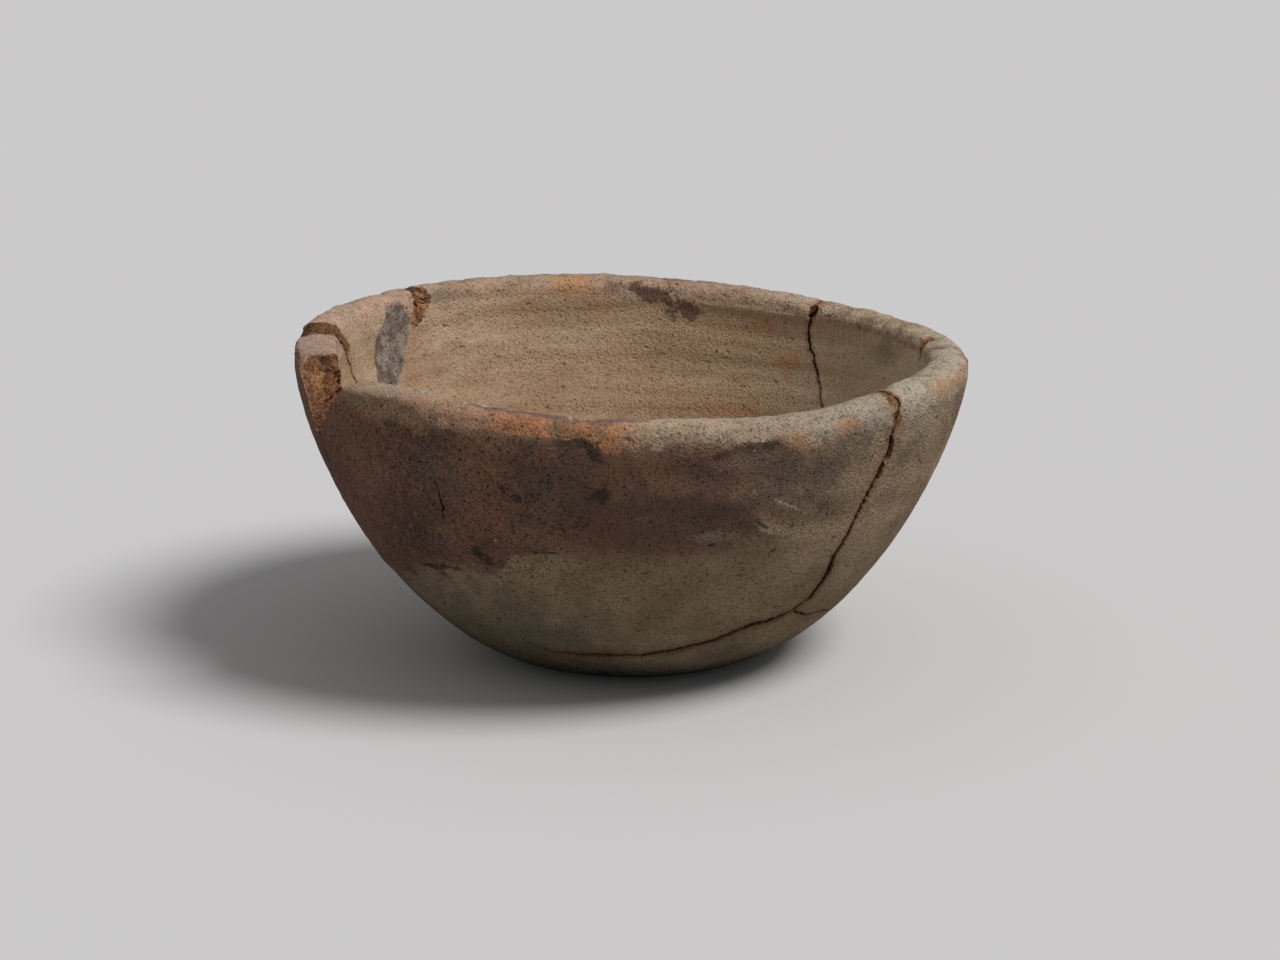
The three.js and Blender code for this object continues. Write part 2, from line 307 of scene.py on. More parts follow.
# Runs between which a stain shows on each side, and the distance that is kept where there is none
STAIN_RUNS = {"outside": (-2, 1.9), "inside": (1.3, 5), "crown": (1.25, 2)}
NO_STAIN = 4.0

# Small dark marks, and pale marks: a scrape, a painted highlight on a lit ridge and a painted glint. Each has
# an angle, a height, a half width and half height in millimetres, and a slant
OUTER_MARKS = (
    (248.8, 49.2, 1.7, 1.1, -35), (250.8, 47.6, 1.0, 0.6, -30), (264.4, 57.6, 2.0, 1.3, -40),
    (262.8, 59.4, 3.4, 0.8, 0), (265.4, 49.2, 2.0, 1.3, 0), (240.6, 34.4, 0.9, 1.5, 20),
    (242.2, 32.6, 1.7, 1.0, -40), (228.8, 28.6, 4, 0.5, 8), (254.5, 35.8, 2.6, 0.3, 3),
    (202.5, 51, 0.9, 6, 0), (292.8, 41.5, 1.9, 0.3, -34), (284.3, 37.7, 0.6, 0.35, 0),
    (297, 35, 0.5, 0.28, 20), (299.6, 39.9, 0.36, 0.2, 20),
)
INNER_MARKS = ((71, 49.5, 0.45, 0.45, 0), (9.4, 58.2, 1.5, 0.8, 20), (138, 65.6, 1.6, 1.0, 0))
SCRAPES_AND_HIGHLIGHTS = ((294.2, 40, 2.2, 0.5, -37), (296.2, 45.6, 3.8, 0.28, -27), (320, 38.8, 1.3, 0.25, -30))
MARK_STRENGTH = 0.78

# Thin line along the front of the lip, dark in places and pale in others, the pale places a painted highlight
LIP_LINE = {"run": 1.48, "start": 240, "end": 272}

# Stage: floor, lamp, world and camera
FLOOR_HALF = 4.0
FLOOR_SEEN = (0.62, 0.61, 0.61)
FLOOR_THROWN = (0.24, 0.235, 0.235)
LAMP = {"energy": 2.6, "size": math.radians(24), "tip": math.radians(36), "turn": math.radians(-24)}
WORLD_STRENGTH = 0.3
CAMERA = {"lens": 98.99, "sensor": 36, "tilt": math.radians(14.878), "distance": 0.72}
CAMERA_AIM = (1.704 * MM, 0, 34.61 * MM)


class Value:
    """A socket of a node tree. Arithmetic on it adds Math nodes to that tree."""

    def __init__(self, graph, socket):
        self.graph = graph
        self.socket = socket

    def part(self, name):
        """Another output of the same node."""
        return Value(self.graph, find(self.socket.node.outputs, name))

    def __add__(self, other):
        return self.graph.math("ADD", self, other)

    def __radd__(self, other):
        return self.graph.math("ADD", other, self)

    def __sub__(self, other):
        return self.graph.math("SUBTRACT", self, other)

    def __rsub__(self, other):
        return self.graph.math("SUBTRACT", other, self)

    def __mul__(self, other):
        return self.graph.math("MULTIPLY", self, other)

    def __rmul__(self, other):
        return self.graph.math("MULTIPLY", other, self)

    def __truediv__(self, other):
        return self.graph.math("DIVIDE", self, other)

    def __rtruediv__(self, other):
        return self.graph.math("DIVIDE", other, self)

    def __pow__(self, other):
        return self.graph.math("POWER", self, other)

    def __neg__(self):
        return self.graph.math("MULTIPLY", self, -1)

    def __gt__(self, other):
        return self.graph.math("GREATER_THAN", self, other)

    def __lt__(self, other):
        return self.graph.math("LESS_THAN", self, other)


def find(sockets, key):
    """The socket with this place in the list, or this identifier."""
    if isinstance(key, int):
        return sockets[key]
    return next(socket for socket in sockets if socket.identifier == key)


class Graph:
    """A node tree that is written as expressions."""

    def __init__(self, tree):
        self.tree = tree

    def add(self, kind, settings=None, sockets=None, out=0):
        """Adds a node: its settings first, then its sockets' values or links. Gives one of its outputs."""
        node = self.tree.nodes.new(kind)
        for name, value in (settings or {}).items():
            if name == "stops":
                set_stops(node.color_ramp, value)
            else:
                setattr(node, name, value)
        for key, value in (sockets or {}).items():
            socket = find(node.inputs, key)
            for one in value if isinstance(value, list) else [value]:
                if isinstance(one, Value):
                    self.tree.links.new(one.socket, socket)
                else:
                    socket.default_value = one
        return Value(self, find(node.outputs, out)) if node.outputs else None

    def math(self, operation, *values):
        return self.add("ShaderNodeMath", {"operation": operation}, dict(enumerate(values)))

    def vector(self, operation, *values):
        return self.add("ShaderNodeVectorMath", {"operation": operation}, dict(enumerate(values)))

    def scaled(self, vector, factor):
        return self.add("ShaderNodeVectorMath", {"operation": "SCALE"}, {"Vector": vector, "Scale": factor})

    def clamp(self, value, low=0.0, high=1.0):
        return self.add("ShaderNodeClamp", {}, {"Value": value, "Min": low, "Max": high})

    def rise(self, value, low, high):
        """0 below low, 1 above high and smooth between; falls where low is the greater."""
        return self.add("ShaderNodeMapRange", {"interpolation_type": "SMOOTHSTEP"},
                        {"Value": value, "From Min": low, "From Max": high})

    def xyz(self, x, y, z):
        return self.add("ShaderNodeCombineXYZ", {}, {"X": x, "Y": y, "Z": z})

    def noise(self, place, scale, detail=2.0, roughness=0.5, out="Fac"):
        sockets = {"Vector": place, "Scale": scale, "Detail": detail, "Roughness": roughness}
        return self.add("ShaderNodeTexNoise", {}, sockets, out)

    def wobble(self, place, scale, detail, roughness):
        """Vector that varies around zero."""
        return self.vector("SUBTRACT", self.noise(place, scale, detail, roughness, "Color"), (0.5, 0.5, 0.5))

    def blend(self, factor, first, second):
        """Colour between two colours, each of them a value or three numbers."""
        first, second = (end if isinstance(end, Value) else (*end, 1) for end in (first, second))
        return self.add("ShaderNodeMix", {"data_type": "RGBA"},
                        {"Factor_Float": factor, "A_Color": first, "B_Color": second}, "Result_Color")

    def along(self, value, stops):
        """Number that follows a line through stops of place and number, both from 0 to 1."""
        greys = [(place, (number, number, number, 1)) for place, number in stops]
        return self.add("ShaderNodeValToRGB", {"stops": greys}, {"Fac": value})


def set_stops(ramp, stops):
    """Gives a colour ramp its stops."""
    while len(ramp.elements) < len(stops):
        ramp.elements.new(0.5)
    for element, (place, colour) in zip(ramp.elements, stops):
        element.position = place
        element.color = colour


def mix(first, second, share):
    """Number between two numbers."""
    return first + (second - first) * share


def even_steps(values, share):
    """Number in an evenly spaced list at a share of its length."""
    place = share * (len(values) - 1)
    index = min(int(place), len(values) - 2)
    return mix(values[index], values[index + 1], place - index)


class Place:
    """Angle, height, radius and run of a point of the skin, in a node tree."""

    def __init__(self, graph, position, run):
        self.graph = graph
        self.position = position
        self.run = run
        x = graph.add("ShaderNodeSeparateXYZ", {}, {"Vector": position}, "X")
        y = x.part("Y")
        self.height = x.part("Z")
        self.radius = graph.math("SQRT", x * x + y * y)
        turn = graph.math("ARCTAN2", y, x) * (180 / math.pi)
        self.angle = turn + 360 * (turn < 0)
        self.inside = graph.rise(run, *INSIDE_EDGE)
        self.outside = graph.rise(run, *OUTSIDE_EDGE)
        self.lip = 1 - self.inside - self.outside

    def off(self, angle, height):
        """How far a point is from an angle and a height, in millimetres around and up."""
        turn = self.graph.math("WRAP", self.angle - angle, 180, -180)
        return turn * self.radius * (math.pi / 180 / MM), self.height / MM - height

    def patch(self, angle, height, half_width, half_height, ragged=None, slant=0.0, soft=0.6):
        """1 in an oval patch, 0 away from it. Sizes are in millimetres, and ragged moves its edge."""
        around, up = self.off(angle, height)
        lean = math.radians(slant)
        long_way = around * math.cos(lean) + up * math.sin(lean)
        short_way = up * math.cos(lean) - around * math.sin(lean)
        far = self.graph.math("SQRT", (long_way / half_width) ** 2 + (short_way / half_height) ** 2)
        if ragged is not None:
            far = far + ragged
        return self.graph.rise(far, 1 + soft / 2, 1 - soft / 2)

    def sector(self, start, end, soft=8.0):
        """1 between two angles, 0 away from them."""
        middle, half = (start + end) / 2, (end - start) / 2
        turn = self.graph.math("ABSOLUTE", self.graph.math("WRAP", self.angle - middle, 180, -180))
        return self.graph.rise(turn, half + soft, half - soft)

    def zone(self, ragged):
        """1 in the discoloured upper zone outside. Its edge is crisp at the left and fades to the right."""
        turn = self.angle / 360
        edge = self.graph.along(turn, [(angle / 360, high / RIM_HEIGHT) for angle, high in ZONE_EDGE])
        edge = edge * RIM_HEIGHT
        soft = self.graph.along(turn, ZONE_SOFTNESS) * ZONE_SOFTEST
        above = (self.height / MM - edge + ragged) / soft
        return self.graph.rise(above, -0.5, 0.5) * self.outside


def join_angle(graph, run):
    """Angle of the step beside the left join, where one sherd sits lower than the next."""
    start, end = JOIN_RANGE
    stops = [(place / LAST_RUN, (angle - start) / (end - start)) for angle, place in CRACKS["left_join"][1]]
    return start + STEP_OFFSET + (end - start) * graph.along(run / LAST_RUN, stops)


def surface_point(graph, size, angle, run):
    """Where a place on the skin is."""
    rim, foot = size["Rim Radius"], size["Foot Radius"]
    lip_start = size["Rim Height"] - size["Lip Height"]
    up_out = graph.clamp(run)
    out_radius = foot + (rim - foot) * (1 - (1 - up_out) ** BELLY_TURN) ** BELLY_SWELL
    out_radius = out_radius * graph.clamp(1 + run)
    out_height = up_out * lip_start
    up_in = graph.clamp(3 - run, 1e-5, 1)
    turned = 1 - (1 - up_in) ** BELLY_TURN
    slope = (rim - foot) * (BELLY_TURN * BELLY_SWELL) * turned ** (BELLY_SWELL - 1)
    slope = slope * (1 - up_in) ** (BELLY_TURN - 1)
    wall = mix(size["Floor Wall"], size["Rim Wall"], up_in) / graph.math("SQRT", lip_start ** 2 + slope ** 2)
    in_radius = (foot + (rim - foot) * turned ** BELLY_SWELL - lip_start * wall) * graph.clamp(LAST_RUN - run)
    in_height = up_in * lip_start + slope * wall
    arc = graph.clamp(run - 1) * math.pi
    flat = graph.rise(angle, *FLAT_LIP[:2]) * graph.rise(angle, *FLAT_LIP[2:])
    bend = 2 / (LIP_SQUARENESS + flat * FLAT_LIP_SQUARENESS)
    side = graph.math("COSINE", arc)
    side = graph.math("SIGN", side) * graph.math("ABSOLUTE", side) ** bend
    lip_radius = rim + (side - 1) * size["Rim Wall"] / 2
    crest = graph.math("MAXIMUM", graph.math("SINE", arc), 0) ** bend
    lip_height = lip_start + size["Lip Height"] * crest
    on_lip, on_inside = run > 1, run > 2
    radius = out_radius + on_lip * (lip_radius - out_radius) + on_inside * (in_radius - lip_radius)
    height = out_height + on_lip * (lip_height - out_height) + on_inside * (in_height - lip_height)
    past_step = angle - join_angle(graph, run)
    dropped = graph.rise(past_step, -STEP_HALF_WIDTH, STEP_HALF_WIDTH) * graph.rise(run, 2.7, 2.3)
    sway = -size["Sherd Drop"] * dropped * graph.rise(angle, SHERD_EASE[1], SHERD_EASE[0])
    for waves, wave_height, high in RIM_SWAY:
        sway = sway + graph.math("COSINE", (angle - high) * (waves * math.pi / 180)) * (wave_height * MM)
    height = height + sway * (height / size["Rim Height"]) ** 2 * graph.clamp(LAST_RUN - run)
    turn = angle * (math.pi / 180)
    return graph.xyz(radius * graph.math("COSINE", turn), radius * graph.math("SINE", turn), height)


def keep_number(graph, mesh, name, value):
    """The mesh with a number stored at each of its points."""
    return graph.add("GeometryNodeStoreNamedAttribute", {"data_type": "FLOAT", "domain": "POINT"},
                     {"Geometry": mesh, "Name": name, "Value": value}, "Geometry")


def moved(graph, mesh, **place):
    """The mesh or lines with each point at a Position, or moved by an Offset."""
    return graph.add("GeometryNodeSetPosition", {}, {"Geometry": mesh, **place}, "Geometry")


def nearest_on(graph, mesh, element, out):
    """The Position of the nearest point of a mesh, or its Distance."""
    return graph.add("GeometryNodeProximity", {"target_element": element}, {"Target": mesh}, out)


def number_kept(graph, name):
    """The number that was stored under a name."""
    return graph.add("GeometryNodeInputNamedAttribute", {"data_type": "FLOAT"}, {"Name": name}, "Attribute")


def whole_vessel(graph, size):
    """The vessel's closed skin before anything broke, with the run of each point."""
    rows = sum(ROWS.values())
    grid = graph.add("GeometryNodeMeshGrid", {}, {
        "Size X": 1.0, "Size Y": 1.0, "Vertices X": COLUMNS + 1, "Vertices Y": rows + 1}, "Mesh")
    across = graph.add("ShaderNodeSeparateXYZ", {}, {"Vector": graph.add("GeometryNodeInputPosition")}, "X")
    row = (across.part("Y") + 0.5) * rows
    done, share = 0, {}
    for stretch, count in ROWS.items():
        share[stretch] = graph.clamp((row - done) / count)
        done += count
    run = (share["foot"] - 1 + share["outside"] ** BELLY_TURN + share["lip"]
           + 1 - (1 - share["inside"]) ** BELLY_TURN + share["floor"])
    kept = keep_number(graph, grid, "run", run)
    placed = moved(graph, kept, Position=surface_point(graph, size, (across + 0.5) * 360, run))
    return graph.add("GeometryNodeMergeByDistance", {}, {
        "Geometry": placed, "Distance": MERGE_DISTANCE}, "Geometry")


def break_paths(graph, size, paths):
    """Lines of the cracks, chips and band laid on the skin."""
    lines = graph.add("GeometryNodeMeshToCurve", {}, {"Mesh": paths}, "Curve")
    lines = graph.add("GeometryNodeSubdivideCurve", {}, {"Curve": lines, "Cuts": PATH_CUTS}, "Curve")
    angle = graph.add("ShaderNodeSeparateXYZ", {}, {"Vector": graph.add("GeometryNodeInputPosition")}, "X")
    lines = moved(graph, lines, Position=surface_point(graph, size, angle, angle.part("Y")))
    return graph.add("GeometryNodeResampleCurve", {"mode": "LENGTH"}, {
        "Curve": lines, "Length": PATH_STEP}, "Curve")


def on_skin(graph, lines, skin, jag):
    """Lines made ragged, set down on the skin and turned to face away from it."""
    place = graph.add("GeometryNodeInputPosition")
    swing = graph.wobble(place, 380, 4, 0.75)
    lines = moved(graph, lines, Offset=graph.scaled(swing, jag * 4))
    lines = moved(graph, lines, Position=nearest_on(graph, skin, "FACES", "Position"))
    facing = graph.add("GeometryNodeSampleNearestSurface", {"data_type": "FLOAT_VECTOR"}, {
        "Mesh": skin, "Value": graph.add("GeometryNodeInputNormal"), "Sample Position": place}, "Value")
    return graph.add("GeometryNodeSetCurveNormal", {"mode": "FREE"}, {
        "Curve": lines, "Normal": facing}, "Curve")


def one_path(graph, lines, number):
    """The line with this number."""
    picked = graph.math("COMPARE", number_kept(graph, "path"), number, 0.1)
    return graph.add("GeometryNodeSeparateGeometry", {"domain": "CURVE"},
                     {"Geometry": lines, "Selection": picked}, "Selection")


def swept(graph, line, section):
    """Closed cutter along a line, as wide as the line's gap."""
    corners = {f"Point {i + 1}": (x, y, 0) for i, (x, y) in enumerate(section)}
    profile = graph.add("GeometryNodeCurvePrimitiveQuadrilateral", {"mode": "POINTS"}, corners, "Curve")
    place = graph.add("GeometryNodeInputPosition")
    width = number_kept(graph, "gap") * MM * (0.4 + 1.2 * graph.noise(place, 800, 3, 0.7))
    cutter = graph.add("GeometryNodeCurveToMesh", {}, {
        "Curve": line, "Profile Curve": profile, "Scale": width, "Fill Caps": True}, "Mesh")
    crumble = graph.scaled(graph.wobble(place, 1300, 2, 0.6), CUTTER_CRUMBLE)
    return moved(graph, cutter, Offset=crumble)


def lost_rim(graph, size):
    """Cutter for the lost piece of rim: a rough wedge between its two broken edges."""
    block = graph.add("GeometryNodeMeshCube", {}, {"Size": (1, 1, 1), **NOTCH_GRID}, "Mesh")
    across = graph.add("ShaderNodeSeparateXYZ", {}, {"Vector": graph.add("GeometryNodeInputPosition")}, "X")
    up = (across.part("Y") + 0.5) * (1 + NOTCH_REACH / size["Notch Depth"])
    reach = across.part("Z") * (size["Rim Wall"] + 2 * NOTCH_REACH)
    wall_share = graph.clamp(reach / size["Rim Wall"] + 0.5)
    lower_half, upper_half = graph.clamp(up * 2), graph.clamp(up * 2 - 1)

    def edge(angles):
        sides = []
        for side in ("inside", "outside"):
            low, middle, high = angles[side]
            sides.append(low + (middle - low) * lower_half + (high - middle) * upper_half)
        return mix(sides[0], sides[1], wall_share)

    turn = mix(edge(NOTCH_START), edge(NOTCH_END), across + 0.5) * (math.pi / 180)
    radius = size["Rim Radius"] - size["Rim Wall"] / 2 + reach
    height = size["Rim Height"] - size["Notch Depth"] * (1 - up)
    place = graph.xyz(radius * graph.math("COSINE", turn), radius * graph.math("SINE", turn), height)
    block = moved(graph, block, Position=place)
    here = graph.add("GeometryNodeInputPosition")
    coarse = graph.scaled(graph.wobble(here, 260, 2, 0.5), size["Break Grain"] * 1.6)
    fine = graph.scaled(graph.wobble(here, 900, 2, 0.5), size["Break Grain"])
    return moved(graph, block, Offset=graph.vector("ADD", coarse, fine))


def throwing_lines(graph, place, wander):
    """Lines that the throwing left: fine and broad ones inside, and a swell outside at the right."""
    height = place.height / MM
    fine = graph.math("SINE", height * (2 * math.pi / LINE_STEPS["fine"]) + wander * 9)
    broad = graph.math("SINE", height * (2 * math.pi / LINE_STEPS["broad"]) + wander * 5)
    inner = (fine * RELIEF["fine line"] + broad * RELIEF["broad line"]) * place.inside * (0.3 + wander)
    swell = (height + place.angle * 0.12) * (2 * math.pi / LINE_STEPS["outer"]) + wander * 4
    outer = graph.math("SINE", swell) * RELIEF["outer line"] * place.outside * place.sector(*SWOLLEN_SKIN)
    return inner, outer * graph.rise(height, 28, 42) * graph.rise(wander, 0.35, 0.65)


def damaged(graph, place, relief, away_from_band):
    """The relief with what is lifted or scarred, or has come away from the skin."""
    ragged = (graph.noise(place.position, 260, 4, 0.6) - 0.5) * 5
    lifted = place.zone(ragged) * place.sector(*LIFTED_SKIN) * RELIEF["lifted skin"]
    scar = place.patch(*SCAR, slant=-38, soft=1.4) * place.outside * RELIEF["scar"]
    flake = place.patch(*FLAKE, ragged * 0.12, 5, 0.25) * place.outside * RELIEF["flake"]
    edge = graph.rise(place.run, 0.93, 1.02) * graph.rise(place.run, 1.5, 1.3)
    flaked = graph.rise(graph.noise(place.position, 190, 4, 0.65), 0.5, 0.56) * edge * RELIEF["lip flake"]
    thinned = place.sector(*THIN_LIP) * place.lip * RELIEF["thin lip"]
    chip = place.patch(*LIP_CHIP, ragged * 0.12) * graph.rise(place.run, 1.42, 1.6) * RELIEF["chip"]
    band_edge = (graph.noise(place.position, 420, 3) - 0.5) * 1.2
    spalled = graph.rise(away_from_band + band_edge, 0.7, 0.1) * RELIEF["band"]
    spalled = spalled * (0.75 + 0.6 * graph.noise(place.position, 350, 3, 0.6))
    return relief + lifted + scar - flake - flaked - thinned - chip - spalled


def hand_made(graph, size, vessel, band):
    """The vessel with its lumps, throwing lines, grain, worn lip and damage to the skin."""
    position = graph.add("GeometryNodeInputPosition")
    place = Place(graph, position, number_kept(graph, "run"))
    wander = graph.noise(position, 24, 2)
    lumps = (graph.noise(position, 34, 2) - 0.5) * size["Lump Height"]
    coarse_skin = place.sector(*COARSE_SKIN) * place.zone(0)
    grain = (graph.noise(position, 480, 3, 0.6) - 0.5) * size["Grain Height"] * (1 + coarse_skin * 1.6)
    wear = (graph.noise(position, 230, 4, 0.62) - 0.5) * size["Lip Wear"] * place.lip
    away = nearest_on(graph, band, "FACES", "Distance") / MM
    inner_lines, outer_lines = throwing_lines(graph, place, wander)
    relief = damaged(graph, place, lumps + grain + wear + inner_lines + outer_lines, away)
    relief = relief * graph.rise(place.height / MM, 0.2, 4)
    vessel = keep_number(graph, vessel, "band", away)
    push = graph.scaled(graph.add("GeometryNodeInputNormal"), relief)
    return moved(graph, vessel, Offset=push)


def bowl_tree(material):
    """Geometry Nodes tree that makes the cracked bowl from the paths of its breaks."""
    tree = bpy.data.node_groups.new("cracked_bowl", "GeometryNodeTree")
    tree.interface.new_socket("Paths", in_out="INPUT", socket_type="NodeSocketGeometry")
    for name in SIZES:
        tree.interface.new_socket(name, in_out="INPUT", socket_type="NodeSocketFloat")
    tree.interface.new_socket("Bowl", in_out="OUTPUT", socket_type="NodeSocketGeometry")
    graph = Graph(tree)
    entry = tree.nodes.new("NodeGroupInput")
    paths = Value(graph, entry.outputs[0])
    size = {name: Value(graph, entry.outputs[name]) for name in SIZES}

    vessel = whole_vessel(graph, size)
    lines = break_paths(graph, size, paths)
    band_number = len(CRACKS) + len(CHIPS)
    band_line = on_skin(graph, one_path(graph, lines, band_number), vessel, 0.0)
    ribbon = graph.add("GeometryNodeCurvePrimitiveLine", {}, {
        "Start": (0, -0.5, 0), "End": (0, 0.5, 0)}, "Curve")
    band = graph.add("GeometryNodeCurveToMesh", {}, {
        "Curve": band_line, "Profile Curve": ribbon, "Scale": number_kept(graph, "gap") * MM}, "Mesh")
    vessel = hand_made(graph, size, vessel, band)
    lines = on_skin(graph, lines, vessel, size["Crack Jag"])
    cutters = [lost_rim(graph, size)]
    cracks = []
    for number in range(len(CRACKS)):
        line = one_path(graph, lines, number)
        cutters.append(swept(graph, line, CRACK_SECTION))
        cracks.append(graph.add("GeometryNodeCurveToMesh", {}, {"Curve": line}, "Mesh"))
    for number in range(len(CRACKS), band_number):
        cutters.append(swept(graph, one_path(graph, lines, number), CHIP_SECTION))
    bowl = graph.add("GeometryNodeMeshBoolean", {"operation": "DIFFERENCE", "solver": "MANIFOLD"},
                     {"Mesh 1": vessel, "Mesh 2": cutters}, "Mesh")
    crack_lines = graph.add("GeometryNodeJoinGeometry", {}, {"Geometry": cracks}, "Geometry")
    broken = nearest_on(graph, vessel, "FACES", "Distance")
    cracked = nearest_on(graph, crack_lines, "EDGES", "Distance")
    here = graph.add("GeometryNodeInputPosition")
    near = graph.add("GeometryNodeSampleNearest", {"domain": "POINT"}, {
        "Geometry": crack_lines, "Sample Position": here}, "Index")
    near_gap = graph.add("GeometryNodeSampleIndex", {"data_type": "FLOAT", "domain": "POINT"}, {
        "Geometry": crack_lines, "Value": number_kept(graph, "gap"), "Index": near}, "Value")
    kept = {"broken": broken / MM, "crack": cracked / MM, "gap": near_gap}
    for name in ("run", "band"):
        kept[name] = graph.add("GeometryNodeSampleNearestSurface", {"data_type": "FLOAT"}, {
            "Mesh": vessel, "Value": number_kept(graph, name), "Sample Position": here}, "Value")
    for name, value in kept.items():
        bowl = keep_number(graph, bowl, name, value)
    bowl = graph.add("GeometryNodeSetShadeSmooth", {"domain": "FACE"}, {"Geometry": bowl}, "Geometry")
    sharp = graph.add("GeometryNodeInputMeshEdgeAngle", {}, {}, "Unsigned Angle") > SHARP_EDGE
    bowl = graph.add("GeometryNodeSetShadeSmooth", {"domain": "EDGE"}, {
        "Geometry": bowl, "Selection": sharp, "Shade Smooth": False}, "Geometry")
    bowl = graph.add("GeometryNodeRealizeInstances", {}, {"Geometry": bowl}, "Geometry")
    bowl = graph.add("GeometryNodeSetMaterial", {}, {"Geometry": bowl, "Material": material}, "Geometry")
    leave = tree.nodes.new("NodeGroupOutput")
    tree.links.new(bowl.socket, leave.inputs[0])
    return tree


def keep_stains(mesh):
    """Stores how far each point is from the stains of each kind, in half sizes of the nearest one."""
    place = np.empty(len(mesh.vertices) * 3)
    mesh.vertices.foreach_get("co", place)
    x, y, z = place.reshape(-1, 3).T / MM
    run = np.empty(len(mesh.vertices))
    mesh.attributes["run"].data.foreach_get("value", run)
    turn, radius = np.degrees(np.arctan2(y, x)), np.hypot(x, y)
    for kind, stain in STAINS.items():
        nearest = np.full(len(run), NO_STAIN)
        for side, angle, height, half_width, half_height, slant in stain["spots"]:
            around = np.radians((turn - angle + 180) % 360 - 180) * radius
            lean = math.radians(slant)
            long_way = around * math.cos(lean) + (z - height) * math.sin(lean)
            short_way = (z - height) * math.cos(lean) - around * math.sin(lean)
            away = np.hypot(long_way / half_width, short_way / half_height)
            first, last = STAIN_RUNS[side]
            nearest = np.where((run > first) & (run < last), np.minimum(nearest, away), nearest)
        mesh.attributes.new("stain_" + kind, "FLOAT", "POINT").data.foreach_set("value", nearest)


def path_mesh():
    """Paths of the cracks, chips and band as points of angle and run, with the gap at each."""
    points, edges, gaps, numbers = [], [], [], []
    for number, (gap, path) in enumerate([*CRACKS.values(), *CHIPS.values(), BAND]):
        for i, (angle, run) in enumerate(path):
            if i:
                edges.append((len(points) - 1, len(points)))
            points.append((angle, run, 0))
            gaps.append(even_steps(gap, i / (len(path) - 1)))
            numbers.append(number)
    mesh = bpy.data.meshes.new("break_paths")
    mesh.from_pydata(points, edges, [])
    mesh.attributes.new("gap", "FLOAT", "POINT").data.foreach_set("value", gaps)
    mesh.attributes.new("path", "FLOAT", "POINT").data.foreach_set("value", numbers)
    return mesh


def new_object(name, data):
    """An object of the scene that shows this data."""
    made = bpy.data.objects.new(name, data)
    bpy.context.collection.objects.link(made)
    return made


def make_bowl(material):
    """The cracked bowl as one plain mesh, in place of the bowl's solid."""
    paths = new_object("break_paths", path_mesh())
    tree = bowl_tree(material)
    modifier = paths.modifiers.new("cracked_bowl", "NODES")
    modifier.node_group = tree
    for item in tree.interface.items_tree:
        if item.in_out == "INPUT" and item.name in SIZES:
            modifier[item.identifier] = SIZES[item.name]
    made = paths.evaluated_get(bpy.context.evaluated_depsgraph_get())
    mesh = bpy.data.meshes.new_from_object(made)
    bpy.data.objects.remove(paths)
    mesh.name = "cracked_bowl"
    keep_stains(mesh)
    bowl = new_object("cracked_bowl", mesh)
    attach(bowl, "root")
    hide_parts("bowl")


def blank_material(name):
    """A material without nodes, and the graph that fills it."""
    material = bpy.data.materials.new(name)
    material.use_nodes = True
    material.node_tree.nodes.clear()
    return material, Graph(material.node_tree)


class Patterns:
    """Patterns of the clay, from broad clouds to fine grit, and two mixes that make an edge ragged."""

    def __init__(self, graph, position):
        self.cloud = graph.noise(position, 26, 3, 0.6)
        self.blotch = graph.noise(position, 80, 4, 0.62)
        self.patchy = graph.noise(position, 135, 3, 0.6)
        self.mottle = graph.noise(position, 230, 4, 0.65)
        self.spots = graph.noise(position, 400, 2, 0.6)
        self.sand = graph.noise(position, 1150, 3, 0.7)
        self.grains = graph.noise(position, 2100, 2, 0.7)
        self.grit = graph.noise(position, 2600, 2, 0.6)
        self.bands = graph.noise(graph.vector("MULTIPLY", position, (0.3, 0.3, 1)), 120, 3, 0.6)
        self.streak = graph.noise(graph.vector("MULTIPLY", position, (0.22, 0.22, 1)), 330, 3, 0.6)
        self.ragged = (self.mottle - 0.5) * 2.4 + (self.sand - 0.5) * 1.4
        self.torn = (self.mottle - 0.5) * 4 + (self.sand - 0.5) * 2.6
        bent = graph.scaled(graph.noise(position, 800, 1, 0.5, "Color"), 1.2 * MM)
        bent = graph.vector("MULTIPLY", graph.vector("ADD", position, bent), (0.5, 0.5, 1))
        self.cells = graph.add("ShaderNodeTexVoronoi", {}, {"Vector": bent, "Scale": 560.0}, "Distance")
        self.chance = graph.add("ShaderNodeSeparateColor", {}, {"Color": self.cells.part("Color")}, "Red")


def inside_colour(graph, place, pattern):
    """Buff clay inside, banded and streaked by the throwing, paler at the right as painted light, and darker
    at the back.
    """
    colour = graph.blend(graph.rise(pattern.blotch, 0.36, 0.66), CLAY["inside dark"], CLAY["inside light"])
    colour = graph.blend(graph.rise(pattern.bands, 0.46, 0.64) * 0.3, colour, CLAY["inside band dark"])
    colour = graph.blend(graph.rise(pattern.bands, 0.48, 0.34) * 0.65, colour, CLAY["inside band light"])
    colour = graph.blend(graph.rise(pattern.streak, 0.48, 0.66) * 0.6, colour, CLAY["inside streak"])
    on_wall = graph.rise(place.radius / MM, 6, 42)
    # Painted light: the inside wall at the right is painted paler
    colour = graph.blend(place.sector(310, 405, 35) * on_wall * 0.85, colour, CLAY["inside right painted light"])
    return graph.blend(place.sector(45, 120, 35) * on_wall * 0.5, colour, CLAY["inside back"])


